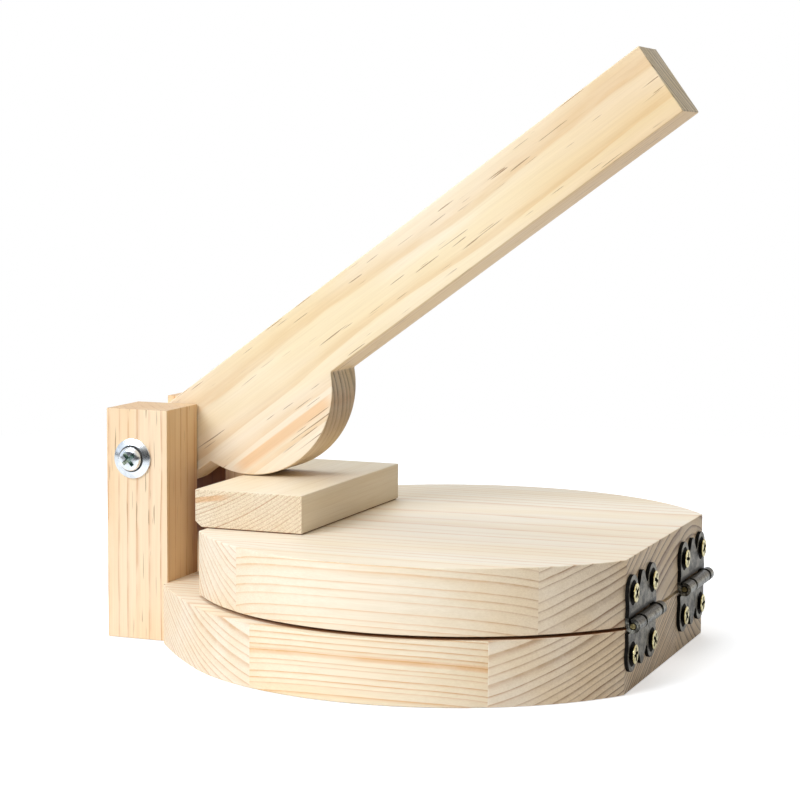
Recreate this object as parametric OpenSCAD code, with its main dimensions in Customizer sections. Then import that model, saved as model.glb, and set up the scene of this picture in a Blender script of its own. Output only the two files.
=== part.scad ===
// Wooden tortilla press: two hinged pine boards, closed by a cam lever that
// swings on a bolt between two posts. Millimetres, +Z up. The origin is the
// centre of the lower board's underside, +X points to the hinges.

/* [Lower board] */
// Radius of the lower board
base_r = 90; // [80:0.5:110]
// Thickness of the lower board
base_t = 20; // [18:0.5:30]
// How far the flat that carries the posts lies inside the rim
post_flat_in = 2.8; // [1:0.1:8]
// Half of that flat's width
post_flat_half = 36.5; // [36:0.1:40]
// How far the flat that carries the hinges lies inside the rim
hinge_flat_in = 14.5; // [13:0.1:18]
// Width of the front stave
base_front_stave_w = 8.4; // [8:0.1:30]
// Width of the middle stave
base_middle_stave_w = 91.1; // [88:0.1:94]
// Turn of the lower board's grain from the X axis, in degrees
base_grain_turn = 3.1; // [0:0.1:4]

/* [Upper board] */
// How much smaller the upper board's radius is than the lower board's
upper_in = 3.3; // [0:0.1:5]
// Shift of the upper board's centre towards the hinges
upper_shift = 3.4; // [0:0.1:5]
// Thickness of the upper board
upper_t = 20.5; // [16:0.5:30]
// Gap between the closed boards
board_gap = 1; // [0.6:0.1:3]
// Distance from the flat that carries the posts to the upper board's flat
upper_flat_in = 20.2; // [16:0.1:26]
// Width of the front stave
upper_front_stave_w = 14.9; // [9:0.1:25]
// Width of the middle stave
upper_middle_stave_w = 85.8; // [80:0.1:86]
// Turn of the upper board's grain from the X axis, in degrees
upper_grain_turn = 2; // [0:0.1:4]

/* [Pressure pad] */
// Length of the pad, front to back
pad_l = 84.5; // [60:0.5:100]
// Width of the pad
pad_w = 38; // [30:0.5:44]
// Thickness of the pad
pad_t = 12.7; // [10:0.1:18]
// Distance from the flat that carries the posts to the middle of the pad
pad_from_flat = 35.5; // [32:0.1:40]
// Shift of the pad towards the front
pad_shift = 3.5; // [0:0.5:5]
// Chamfer along the pad's lower edge on the post side
pad_chamfer = 2.2; // [0.5:0.1:4]

/* [Lever] */
// Thickness of the plank that the lever is sawn from
lever_t = 20.7; // [16:0.1:30]
// Width of the handle
lever_w = 25; // [20:0.5:28]
// Length from the bolt to the end of the handle
lever_reach = 214.2; // [180:0.1:240]
// Slope of the closed lever, in degrees
lever_slope = 36; // [25:1:45]
// Radius of the cam
cam_r = 30.2; // [26:0.1:34]
// Distance from the bolt to the cam's centre
cam_offset = 40; // [34:0.5:46]
// Clearance between the cam and the pad
cam_clear = 0.3; // [0.2:0.05:1]

/* [Posts and bolt] */
// Side of the square posts
post_side = 22.5; // [19:0.5:28]
// Wood above the bolt
post_over = 16.6; // [12:0.1:24]
// Clearance between the lever and each post
lever_side_gap = 0.6; // [0.3:0.1:1.5]
// Distance from the post flat to the bolt
bolt_from_flat = 12.7; // [10:0.1:14]
// Radius of the bolt's shank
bolt_r = 2.5; // [2:0.1:3.5]
// Radius of the bolt's head
bolt_head_r = 4; // [3.8:0.1:5.5]
// Height of the bolt's head
bolt_head_h = 1.9; // [1.6:0.1:3]
// Radius of the cone washer and of the rear washer
washer_r = 6.75; // [6:0.05:9]
// Height of the cone washer
cone_h = 1.4; // [1.1:0.1:2]
// Thickness of the washers' rim
washer_t = 1; // [0.8:0.1:1.4]
// Width of the nut across its flats
nut_flats = 8; // [7.5:0.5:11]
// Height of the nut
nut_h = 4; // [3:0.5:6]
// Length of bolt that stands out of the nut
bolt_out = 2; // [0.5:0.5:6]

/* [Post screws] */
// Radius of a post screw
post_screw_r = 2; // [1.5:0.1:2.5]
// Radius of a post screw's head
post_screw_head_r = 3.8; // [3.2:0.1:4.5]
// Length of a post screw
post_screw_l = 45; // [38:1:60]
// Height of the lower post screw above the table
post_screw_z = 5.6; // [5:0.1:7]
// Height of the upper post screw above the lower one
post_screw_pitch = 8.4; // [8:0.1:9]
// Sideways stagger of a post's two screws
post_screw_stagger = 8; // [4:0.5:10]

/* [Hinges] */
// Height of the hinge pins above the lower board's top
hinge_rise = 1.4; // [1:0.1:1.8]
// Distance from the flat's corners to the hinges' ends, before their shift
hinge_end_in = 1.1; // [0:0.1:3]
// Shift of both hinges towards the front
hinge_shift = 1.2; // [0:0.1:2]
// Length of a hinge's leaves and knuckles along the pin
hinge_l = 32.3; // [32:0.1:34]
// Reach of a leaf from the pin to its end
leaf_reach = 15; // [14.5:0.1:16.5]
// Thickness of a leaf
leaf_t = 1.2; // [1:0.05:1.25]
// Radius of a leaf's two end lobes
lobe_r = 5.4; // [5:0.1:6]
// Outer radius of the knuckles
knuckle_r = 2.2; // [2:0.05:2.4]
// Radius of the hinge pin
pin_r = 1.1; // [0.9:0.05:1.1]
// Radius of the pin's head
pin_head_r = 1.9; // [1.6:0.05:2.1]
// Length of the pin's head
pin_head_l = 1.2; // [0.8:0.1:2]
// Length of the front knuckle
knuckle_front_l = 11; // [10:0.1:12]
// Length of the middle knuckle
knuckle_middle_l = 16; // [14:0.1:17]
// Clearance between two knuckles
knuckle_gap = 0.3; // [0.2:0.05:0.6]

/* [Hinge screws] */
// Distance from the hinge's ends to the nearest screws
screw_end_in = 4.85; // [4.6:0.05:5.6]
// Distance from the pin to each screw
screw_reach = 9.5; // [9:0.1:9.9]
// Radius of a hinge screw
screw_r = 1.45; // [1.2:0.05:1.6]
// Radius of a hinge screw's head
screw_head_r = 3; // [2.6:0.05:3.2]
// Height of the cone under the head
screw_cone_h = 1.5; // [1.2:0.1:1.6]
// Thickness of the head's rim
screw_rim = 0.4; // [0.3:0.05:0.5]
// Height of the head's face above the leaf
screw_stand = 1.2; // [1:0.1:1.8]
// Length of a hinge screw in the wood
screw_l = 13; // [9:0.5:18]

/* [Hidden] */

$fn = 96;
cut = 1;                                  // how far a cutting tool runs past a face
fit = 0.05;                               // radial clearance of a shaft or screw in its hole
far = 2 * (base_r + lever_reach);         // longer than any piece
upper_r = base_r - upper_in;
post_flat_x = base_r - post_flat_in;      // from the centre to each flat
hinge_flat_x = base_r - hinge_flat_in;
upper_flat_x = post_flat_x - upper_flat_in;
pad_x = post_flat_x - pad_from_flat;
upper_z = base_t + board_gap;             // underside of the upper board
pad_z = upper_z + upper_t;                // underside of the pad
pad_top = pad_z + pad_t;
bolt_x = -post_flat_x - bolt_from_flat;
bolt_z = pad_top + cam_clear + cam_r - cam_offset * sin(lever_slope);
post_h = bolt_z + post_over;
slot_half = lever_t / 2 + lever_side_gap; // half of the room between the posts
post_out = slot_half + post_side;         // outer face of a post from the middle
pin_x = hinge_flat_x + knuckle_r + knuckle_gap;
pin_from_flat = pin_x - hinge_flat_x;
hinge_z = base_t + hinge_rise;            // height of the hinge pins
hinge_flat_half = sqrt(pow(base_r, 2) - pow(hinge_flat_x, 2));
hinge_y = hinge_flat_half - hinge_end_in - hinge_l / 2;
front_hinge_y = -hinge_y - hinge_shift;   // middle of the front hinge
rear_hinge_y = hinge_y - hinge_shift;     // middle of the rear hinge
knuckle_rear_l = hinge_l - knuckle_front_l - knuckle_middle_l - 2 * knuckle_gap;
screw_y = hinge_l / 2 - screw_end_in;     // from a hinge's middle to its screws
leaf_root = 0.9;                          // where a leaf's sheet starts, from the pin
leaf_hole_r = screw_r + 0.3;
leaf_sink_r = screw_head_r - 0.2;
leaf_sink_depth = leaf_t - 0.3;
cone_step = 0.5;                          // ledge of the cone washer around the bolt's head
recess_w = 1.1;                           // cross recess of the bolt and the post screws
post_recess_depth = 1.6;
hinge_recess_w = 0.8;                     // cross recess of the hinge screws
hinge_recess_depth = 1;

// Places of the glue joints, across the grain.
base_joint_front = base_front_stave_w - base_r;
base_joint_rear = base_joint_front + base_middle_stave_w;
upper_joint_front = upper_front_stave_w - upper_r;
upper_joint_rear = upper_joint_front + upper_middle_stave_w;

// The straight runs to the flat's corners touch a circle just inside the lower board's rim.
run_r = base_r - 0.3;
flat_corner_dist = norm([post_flat_x, post_flat_half]);
run_turn = acos(min(1, run_r / flat_corner_dist));
run_angle = atan2(post_flat_half, post_flat_x) + run_turn;
run_point = [-run_r * cos(run_angle), run_r * sin(run_angle)];

// The two boards before they are parted into staves.
module base_block() {
    intersection() {
        union() {
            cylinder(h = base_t, r = base_r, $fn = 180);
            linear_extrude(base_t)
                polygon([
                    [0, 0],
                    [run_point[0], -run_point[1]],
                    [-post_flat_x, -post_flat_half],
                    [-post_flat_x, post_flat_half],
                    run_point
                ]);
        }
        translate([-post_flat_x, -far / 2, -cut])
            cube([post_flat_x + hinge_flat_x, far, base_t + 2 * cut]);
    }
}

module upper_block() {
    intersection() {
        translate([upper_shift, 0, upper_z])
            cylinder(h = upper_t, r = upper_r, $fn = 180);
        translate([-upper_flat_x, -far / 2, 0])
            cube([upper_flat_x + hinge_flat_x, far, far]);
    }
}

// The part of a block between two places across a grain turned by a few degrees.
module stave(from, to, turn) {
    intersection() {
        children();
        rotate(turn)
            translate([-far / 2, from, -cut])
                cube([far, to - from, far]);
    }
}

// Screws and holes along X. Children are drawn at each screw of a hinge or a post.
module at_hinge_screws(middle_y, side) {
    for (dy = [-screw_y, screw_y])
        translate([hinge_flat_x, middle_y + dy, hinge_z + side * screw_reach])
            rotate([0, 90, 0])
                children();
}

module at_post_screws(side) {
    for (i = [0, 1])
        translate([
            -post_flat_x - post_side,
            side * (slot_half + post_side / 2 + (i - 0.5) * post_screw_stagger),
            post_screw_z + i * post_screw_pitch
        ])
            rotate([0, 90, 0])
                children();
}

module hinge_screw_holes(side) {
    for (y = [front_hinge_y, rear_hinge_y])
        at_hinge_screws(y, side)
            translate([0, 0, -screw_l - cut])
                cylinder(h = screw_l + 2 * cut, r = screw_r + fit);
}

module post_screw_holes() {
    for (side = [-1, 1])
        at_post_screws(side)
            cylinder(h = post_screw_l + cut, r = post_screw_r + fit);
}

module base_stave(from, to) {
    color("burlywood")
        difference() {
            stave(from, to, base_grain_turn)
                base_block();
            hinge_screw_holes(-1);
            post_screw_holes();
        }
}

module upper_stave(from, to) {
    color("wheat")
        difference() {
            stave(from, to, upper_grain_turn)
                upper_block();
            hinge_screw_holes(1);
        }
}

module base_front_stave() {
    base_stave(-far / 2, base_joint_front);
}

module base_middle_stave() {
    base_stave(base_joint_front, base_joint_rear);
}

module base_rear_stave() {
    base_stave(base_joint_rear, far / 2);
}

module upper_front_stave() {
    upper_stave(-far / 2, upper_joint_front);
}

module upper_middle_stave() {
    upper_stave(upper_joint_front, upper_joint_rear);
}

module upper_rear_stave() {
    upper_stave(upper_joint_rear, far / 2);
}

module pressure_pad() {
    color("moccasin")
        translate([-pad_x - pad_w / 2, pad_l / 2 - pad_shift, pad_z])
            rotate([90, 0, 0])
                linear_extrude(pad_l)
                    polygon([
                        [pad_chamfer, 0],
                        [pad_w, 0],
                        [pad_w, pad_t],
                        [0, pad_t],
                        [0, pad_chamfer]
                    ]);
}

module post(side) {
    color("burlywood")
        difference() {
            translate([-post_flat_x - post_side, side > 0 ? slot_half : -post_out, 0])
                cube([post_side, post_side, post_h]);
            translate([bolt_x, 0, bolt_z])
                rotate([90, 0, 0])
                    cylinder(h = far, r = bolt_r + fit, center = true);
            at_post_screws(side) {
                translate([0, 0, -cut])
                    cylinder(h = post_side + 2 * cut, r = post_screw_r + fit);
                screw_head(post_screw_r + fit, post_screw_head_r + fit);
                translate([0, 0, -cut])
                    cylinder(h = cut, r = post_screw_head_r + fit);
            }
        }
}

module front_post() {
    post(-1);
}

module rear_post() {
    post(1);
}

// A countersunk head, its face at z = 0 and its cone towards +Z.
module screw_head(shank, head) {
    cylinder(h = head - shank, r1 = head, r2 = shank);
}

module lever() {
    color("wheat")
        translate([bolt_x, lever_t / 2, bolt_z])
            rotate([90, -lever_slope, 0])
                difference() {
                    linear_extrude(lever_t)
                        union() {
                            translate([0, -lever_w / 2])
                                square([lever_reach, lever_w]);
                            circle(lever_w / 2);
                            intersection() {
                                translate([cam_offset, 0])
                                    circle(cam_r, $fn = 180);
                                translate([0, -far / 2])
                                    square([far, far / 2]);
                            }
                        }
                    translate([0, 0, -cut])
                        cylinder(h = lever_t + 2 * cut, r = bolt_r + fit);
                }
}

// A cross recess cut into a face at z = 0, down to z = -depth.
module cross_recess(span, width, depth) {
    for (turn = [45, 135])
        rotate(turn)
            translate([-span / 2, -width / 2, -depth])
                cube([span, width, depth + cut]);
}

module pivot_bolt() {
    seat = post_out + cone_h;
    color("silver")
        translate([bolt_x, -seat, bolt_z])
            rotate([90, 0, 0])
                difference() {
                    union() {
                        translate([0, 0, -seat - post_out - washer_t - nut_h - bolt_out])
                            cylinder(h = seat + post_out + washer_t + nut_h + bolt_out, r = bolt_r);
                        cylinder(h = bolt_head_h * 0.55, r = bolt_head_r);
                        translate([0, 0, bolt_head_h * 0.55])
                            cylinder(h = bolt_head_h * 0.45, r1 = bolt_head_r, r2 = bolt_head_r * 0.72);
                    }
                    translate([0, 0, bolt_head_h])
                        cross_recess(bolt_head_r * 1.1, recess_w, bolt_head_h * 0.6);
                }
}

// A washer that rises as a cone from a flat rim to the bolt's head.
module front_washer() {
    color("gainsboro")
        translate([bolt_x, -post_out, bolt_z])
            rotate([90, 0, 0])
                rotate_extrude()
                    polygon([
                        [bolt_r + fit, 0],
                        [washer_r, 0],
                        [washer_r, washer_t * 0.7],
                        [bolt_head_r + cone_step, cone_h],
                        [bolt_r + fit, cone_h]
                    ]);
}

module rear_washer() {
    color("gainsboro")
        translate([bolt_x, post_out, bolt_z])
            rotate([-90, 0, 0])
                difference() {
                    cylinder(h = washer_t, r = washer_r);
                    translate([0, 0, -cut])
                        cylinder(h = washer_t + 2 * cut, r = bolt_r + fit);
                }
}

module pivot_nut() {
    color("silver")
        translate([bolt_x, post_out + washer_t, bolt_z])
            rotate([-90, 0, 0])
                difference() {
                    cylinder(h = nut_h, r = nut_flats / 2 / cos(30), $fn = 6);
                    translate([0, 0, -cut])
                        cylinder(h = nut_h + 2 * cut, r = bolt_r + fit);
                }
}

module post_screws(side) {
    color("dimgray")
        at_post_screws(side)
            difference() {
                union() {
                    cylinder(h = post_screw_l, r = post_screw_r);
                    screw_head(post_screw_r, post_screw_head_r);
                }
                mirror([0, 0, 1])
                    cross_recess(post_screw_head_r, recess_w, post_recess_depth);
            }
}

module front_post_screws() {
    post_screws(-1);
}

module rear_post_screws() {
    post_screws(1);
}

// Start of each knuckle along the pin, from the front end.
middle_start = knuckle_front_l + knuckle_gap;
rear_start = middle_start + knuckle_middle_l + knuckle_gap;

// A leaf's sheet and lobes, drawn with the pin along X and the leaf towards +Y.
module leaf_outline(own) {
    for (k = own)
        translate([k[0], leaf_root])
            square([k[1], screw_reach - leaf_root]);
    translate([0, knuckle_r + knuckle_gap])
        square([hinge_l, screw_reach - knuckle_r - knuckle_gap]);
    for (s = [-screw_y, screw_y])
        translate([hinge_l / 2 + s, leaf_reach - lobe_r])
            circle(lobe_r);
}

// side is 1 for the leaf on the upper board and -1 for the one on the lower board.
module leaf(middle_y, side) {
    outer = [[0, knuckle_front_l], [rear_start, knuckle_rear_l]];
    inner = [[middle_start, knuckle_middle_l]];
    own = side > 0 ? outer : inner;
    color("dimgray")
        translate([hinge_flat_x, middle_y - hinge_l / 2, hinge_z])
            difference() {
                union() {
                    rotate([90, 0, 90])
                        linear_extrude(leaf_t)
                            mirror([0, side > 0 ? 0 : 1, 0])
                                leaf_outline(own);
                    for (k = own)
                        translate([pin_from_flat, k[0], 0])
                            rotate([-90, 0, 0])
                                cylinder(h = k[1], r = knuckle_r);
                }
                translate([pin_from_flat, -cut, 0])
                    rotate([-90, 0, 0])
                        cylinder(h = hinge_l + 2 * cut, r = pin_r + fit);
                translate([-hinge_flat_x, hinge_l / 2 - middle_y, -hinge_z])
                    at_hinge_screws(middle_y, side) {
                        translate([0, 0, -cut])
                            cylinder(h = leaf_t + 2 * cut, r = leaf_hole_r);
                        translate([0, 0, leaf_t - leaf_sink_depth])
                            cylinder(h = leaf_sink_depth + fit, r1 = leaf_hole_r, r2 = leaf_sink_r);
                    }
            }
}

module hinge_pin(middle_y) {
    color("darkgoldenrod")
        translate([pin_x, middle_y - hinge_l / 2, hinge_z])
            rotate([-90, 0, 0]) {
                cylinder(h = hinge_l + pin_head_l / 2, r = pin_r);
                translate([0, 0, hinge_l + fit])
                    cylinder(h = pin_head_l, r = pin_head_r);
            }
}

module hinge_screws(middle_y, side) {
    face = leaf_t + screw_stand;
    color("goldenrod")
        at_hinge_screws(middle_y, side)
            difference() {
                union() {
                    translate([0, 0, -screw_l])
                        cylinder(h = screw_l + face - screw_rim - screw_cone_h, r = screw_r);
                    translate([0, 0, face - screw_rim - screw_cone_h])
                        cylinder(h = screw_cone_h, r1 = screw_r, r2 = screw_head_r);
                    translate([0, 0, face - screw_rim])
                        cylinder(h = screw_rim, r = screw_head_r);
                }
                translate([0, 0, face])
                    cross_recess(screw_head_r * 1.15, hinge_recess_w, hinge_recess_depth);
            }
}

module front_hinge_lower_leaf() {
    leaf(front_hinge_y, -1);
}

module front_hinge_upper_leaf() {
    leaf(front_hinge_y, 1);
}

module front_hinge_pin() {
    hinge_pin(front_hinge_y);
}

module rear_hinge_lower_leaf() {
    leaf(rear_hinge_y, -1);
}

module rear_hinge_upper_leaf() {
    leaf(rear_hinge_y, 1);
}

module rear_hinge_pin() {
    hinge_pin(rear_hinge_y);
}

module front_hinge_lower_screws() {
    hinge_screws(front_hinge_y, -1);
}

module front_hinge_upper_screws() {
    hinge_screws(front_hinge_y, 1);
}

module rear_hinge_lower_screws() {
    hinge_screws(rear_hinge_y, -1);
}

module rear_hinge_upper_screws() {
    hinge_screws(rear_hinge_y, 1);
}

base_front_stave();
base_middle_stave();
base_rear_stave();
upper_front_stave();
upper_middle_stave();
upper_rear_stave();
pressure_pad();
front_post();
rear_post();
lever();
pivot_bolt();
front_washer();
rear_washer();
pivot_nut();
front_post_screws();
rear_post_screws();
front_hinge_lower_leaf();
front_hinge_upper_leaf();
front_hinge_pin();
rear_hinge_lower_leaf();
rear_hinge_upper_leaf();
rear_hinge_pin();
front_hinge_lower_screws();
front_hinge_upper_screws();
rear_hinge_lower_screws();
rear_hinge_upper_screws();
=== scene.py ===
import math

import bmesh
import bpy
from mathutils import Matrix, Vector


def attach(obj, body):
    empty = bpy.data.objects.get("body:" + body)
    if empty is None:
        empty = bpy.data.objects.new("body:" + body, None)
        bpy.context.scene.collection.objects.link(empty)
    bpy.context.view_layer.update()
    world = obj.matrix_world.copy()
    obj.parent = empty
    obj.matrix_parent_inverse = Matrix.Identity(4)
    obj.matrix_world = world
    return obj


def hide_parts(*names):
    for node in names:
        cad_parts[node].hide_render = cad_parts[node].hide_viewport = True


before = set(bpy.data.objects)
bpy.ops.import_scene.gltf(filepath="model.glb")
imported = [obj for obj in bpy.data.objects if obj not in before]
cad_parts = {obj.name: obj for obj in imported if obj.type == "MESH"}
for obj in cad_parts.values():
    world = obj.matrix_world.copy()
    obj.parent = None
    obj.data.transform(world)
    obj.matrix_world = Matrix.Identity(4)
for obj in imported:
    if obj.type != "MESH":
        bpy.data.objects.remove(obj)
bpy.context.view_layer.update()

MM = 0.001

# Sizes in millimetres, as in the part's source.
FIT = 0.05
BASE_R = 90.0
BASE_T = 20.0
POST_FLAT_X = 87.2
POST_FLAT_HALF = 36.5
HINGE_FLAT_X = 75.5
BASE_JOINTS = (-81.6, 9.5)
BASE_TURN = math.radians(3.1)
UPPER_R = 86.7
UPPER_SHIFT = 3.4
UPPER_Z = 21.0
UPPER_TOP = 41.5
UPPER_FLAT_X = 67.0
UPPER_JOINTS = (-71.8, 14.0)
UPPER_TURN = math.radians(2.0)
PAD_X = (-70.7, -32.7)
PAD_Y = (-45.75, 38.75)
PAD_Z = (41.5, 54.2)
PAD_CHAMFER = 2.2
POST_SIDE = 22.5
POST_INNER = 10.95
POST_OUT = POST_INNER + POST_SIDE
POST_TOP = 77.7886
POST_X = (-POST_FLAT_X - POST_SIDE, -POST_FLAT_X)
POST_SCREW_R = 2.0
POST_SCREW_HEAD_R = 3.8
POST_SCREW_L = 45.0
POST_SCREW_Z = 5.6
POST_SCREW_PITCH = 8.4
POST_SCREW_STAGGER = 8.0
BOLT_X = -99.9
BOLT_Z = 61.1886
BOLT_R = 2.5
BOLT_HEAD_R = 4.0
BOLT_HEAD_H = 1.9
WASHER_R = 6.75
WASHER_CONE_H = 1.4
WASHER_DISC_H = 1.0
NUT_H = 4.0
NUT_HALF_FLAT = 4.0
LEVER_T = 20.7
LEVER_W = 25.0
LEVER_REACH = 214.2
LEVER_SLOPE = math.radians(36)
CAM_R = 30.2
CAM_OFFSET = 40.0
PIN_X = 78.0
PIN_Z = 21.4
PIN_R = 1.1
HINGE_L = 32.3
HINGE_YS = {"front": -32.9372, "rear": 30.5372}
LEAF_REACH = 15.0
LEAF_T = 1.2
KNUCKLE_R = 2.2
SCREW_Y = 11.3
SCREW_REACH = 9.5
SCREW_HEAD_R = 3.0

# Sizes in millimetres that only the dressed model has.
RUN_START = 49.5
RUN_BULGE = 0.95
FACET_SHORTFALL = 0.01
PAD_SEAM = 0.35
PAD_SEAM_INSET = 0.7
POST_SINK_R = 3.9
POST_SINK_DEPTH = 1.9
BOLT_STANDS_OUT = 2.0
THREAD_PITCH = 0.7
THREAD_DEPTH = 0.35
LEAF_SINK_R = 3.9
LEAF_SINK_FLOOR_R = 1.75
SCREW_TOP = 2.4
HALF_L = HINGE_L / 2
LOBE_R = 5.4
LOBE_B = LEAF_REACH - LOBE_R
CURL_X = PIN_X - HINGE_FLAT_X

# How far the edges are rounded.
STAVE_EDGE = 0.45
PAD_EDGE = 0.35
POST_EDGE = 0.4
LEVER_EDGE = 0.45
LEAF_EDGE = 0.14


def srgb(r, g, b):
    """A colour given by its 0-255 display values, as linear values."""
    def linear(c):
        c /= 255
        return c / 12.92 if c <= 0.04045 else ((c + 0.055) / 1.055) ** 2.4
    return (linear(r), linear(g), linear(b), 1.0)


WHITE = srgb(255, 255, 255)


class Nodes:
    """Short calls for building the shader tree of a material or of the world."""

    def __init__(self, owner):
        self.owner = owner
        owner.use_nodes = True
        self.tree = owner.node_tree
        self.tree.nodes.clear()

    def add(self, kind, inputs=None, **settings):
        node = self.tree.nodes.new(kind)
        for key, value in settings.items():
            setattr(node, key, value)
        for key, value in (inputs or {}).items():
            self.put(node.inputs[key], value)
        return node

    def put(self, socket, value):
        if isinstance(value, bpy.types.NodeSocket):
            self.tree.links.new(value, socket)
        elif value is not None:
            socket.default_value = value

    def math(self, operation, a, b=None, c=None):
        node = self.add("ShaderNodeMath", operation=operation)
        for socket, value in zip(node.inputs, (a, b, c)):
            self.put(socket, value)
        return node.outputs[0]

    def times(self, first, *others):
        product = first
        for factor in others:
            product = self.math("MULTIPLY", product, factor)
        return product

    def vector(self, operation, a, b=None, c=None, scale=None):
        node = self.add("ShaderNodeVectorMath", operation=operation)
        for socket, value in zip(node.inputs, (a, b, c)):
            self.put(socket, value)
        if scale is not None:
            self.put(node.inputs["Scale"], scale)
        scalar = operation in ("DOT_PRODUCT", "LENGTH")
        return node.outputs["Value" if scalar else "Vector"]

    def xyz(self, x, y, z):
        return self.add("ShaderNodeCombineXYZ", {"X": x, "Y": y, "Z": z}).outputs[0]

    def split(self, vector):
        return self.add("ShaderNodeSeparateXYZ", {"Vector": vector}).outputs

    def in_mm(self, coords):
        """The place in the object's own directions, in mm."""
        return self.vector("SCALE", coords.outputs["Object"], scale=1 / MM)

    def cells(self, place, along, across, offset=(0.0, 0.0, 0.0)):
        """The place counted in cells along mm long and across mm wide, for a drawn-out texture."""
        return self.vector("MULTIPLY_ADD", place, (1 / along, 1 / across, 1 / across), offset)

    def noise(self, vector, scale=1.0, detail=2.0, roughness=0.5, output="Fac"):
        return self.add(
            "ShaderNodeTexNoise",
            {"Vector": vector, "Scale": scale, "Detail": detail, "Roughness": roughness},
        ).outputs[output]

    def noise_1d(self, w, scale=1.0, detail=1.0):
        return self.add(
            "ShaderNodeTexNoise", {"W": w, "Scale": scale, "Detail": detail},
            noise_dimensions="1D",
        ).outputs["Fac"]

    def ramp(self, fac, stops):
        node = self.add("ShaderNodeValToRGB", {"Fac": fac})
        ramp = node.color_ramp
        while len(ramp.elements) < len(stops):
            ramp.elements.new(0.5)
        for element, (position, value) in zip(ramp.elements, stops):
            element.position = position
            element.color = (value, value, value, 1)
        return node.outputs["Color"]

    def remap(self, value, a, b, c=0.0, d=1.0, smooth=True):
        return self.add(
            "ShaderNodeMapRange",
            {"Value": value, "From Min": a, "From Max": b, "To Min": c, "To Max": d},
            interpolation_type="SMOOTHSTEP" if smooth else "LINEAR",
        ).outputs["Result"]

    def mix(self, fac, a, b, blend="MIX"):
        node = self.add("ShaderNodeMix", data_type="RGBA", blend_type=blend)
        self.put(node.inputs[0], fac)
        self.put(node.inputs[6], a)
        self.put(node.inputs[7], b)
        return node.outputs[2]

    def tint(self, fac, colour, by):
        """The colour multiplied by another, as far as fac says."""
        return self.mix(fac, colour, self.mix(1.0, colour, by, "MULTIPLY"))

    def finish(self, inputs):
        shader = self.add("ShaderNodeBsdfPrincipled", inputs)
        self.add("ShaderNodeOutputMaterial", {"Surface": shader.outputs[0]})
        return self.owner


def new_material(name):
    return Nodes(bpy.data.materials.new(name))


# Wood. A palette holds early wood, warmer early wood, late wood, late wood on the far end, bands. On
# the boards the far end is on the side away from the lamps, and its darker late wood there is painted
# shade.
ORANGE = srgb(240, 198, 148)
PINE = (srgb(250, 237, 213), srgb(248, 230, 199), srgb(230, 176, 106), srgb(136, 94, 62), ORANGE)
DARK_LINED_PINE = (srgb(250, 239, 219), srgb(248, 232, 204), srgb(214, 158, 92),
                   srgb(108, 66, 36), ORANGE)
WARM_PINE = (srgb(251, 236, 208), srgb(249, 229, 193), srgb(226, 166, 88), srgb(150, 100, 62),
             srgb(236, 184, 126))
LEVER_PINE = (srgb(252, 238, 214), srgb(249, 231, 192), srgb(226, 186, 122), srgb(112, 94, 76),
              srgb(238, 184, 118))
PAD_PINE = (srgb(248, 235, 210), srgb(246, 230, 200), srgb(196, 140, 92), srgb(196, 140, 92),
            srgb(232, 180, 122))
POST_PINE = (srgb(250, 226, 192), srgb(247, 216, 174), srgb(200, 132, 70), srgb(190, 130, 84),
             srgb(222, 152, 90))
PITCH_DASH = srgb(150, 112, 74)


def wander_off(n, board, ring, wander, seed):
    """The place on the board, bent by a slow wandering of the rings and a finer unevenness."""
    middle = (0.5, 0.5, 0.5)
    slow_at = n.cells(board, 130, 55, (seed, seed * 0.7, 3.0))
    slow = n.vector("SUBTRACT", n.noise(slow_at, detail=1.5, output="Color"), middle)
    fine_at = n.cells(board, 26, 7, (seed * 1.3, 9.0, seed))
    fine = n.vector("SUBTRACT", n.noise(fine_at, output="Color"), middle)
    slow_reach = wander * 4.4
    fine_reach = min(0.55, ring * 0.2)
    bend = n.vector("ADD", n.vector("SCALE", slow, scale=slow_reach),
                    n.vector("SCALE", fine, scale=fine_reach))
    return n.vector("ADD", board, bend)


def late_wood(n, board, count, late_from, broken, seed):
    """How much late wood shows, where count is the number of rings from the pith."""
    uneven = n.math("SUBTRACT", n.noise_1d(n.math("ADD", count, seed * 5.1), 0.55, 2.0), 0.5)
    count = n.math("MULTIPLY_ADD", uneven, 1.1, count)
    ring_number = n.math("ADD", n.math("FLOOR", count), seed)
    strength = n.add("ShaderNodeTexWhiteNoise", {"W": ring_number}, noise_dimensions="1D")
    strength = n.remap(strength.outputs["Value"], 0.0, 1.0, 0.55, 1.0, smooth=False)
    line = n.ramp(n.math("FRACT", count), [
        (0.0, 0.08), (0.08, 0.0), (late_from - 0.2, 0.04), (late_from, 0.32),
        (late_from + 0.55 * (1.0 - late_from), 0.9), (0.96, 1.0), (0.998, 0.08),
    ])
    worn = n.noise(n.cells(board, 14, 2.2))
    return n.times(line, strength, n.remap(worn, 0.36, 0.6, 1.0 - broken, 1.0))


def add_bands(n, wood, colour, along, radius, bands):
    """Colours rings of wood. A band is its distance from the pith, half its width, a strength."""
    for middle, half, amount in bands:
        off = n.math("ABSOLUTE", n.math("SUBTRACT", radius, middle))
        inside = n.remap(off, half * 0.35, half, amount, 0.0)
        patchy = n.remap(n.noise_1d(along, 1 / 24), 0.35, 0.6, 0.6, 1.0)
        wood = n.mix(n.times(inside, patchy), wood, colour)
    return wood


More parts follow.
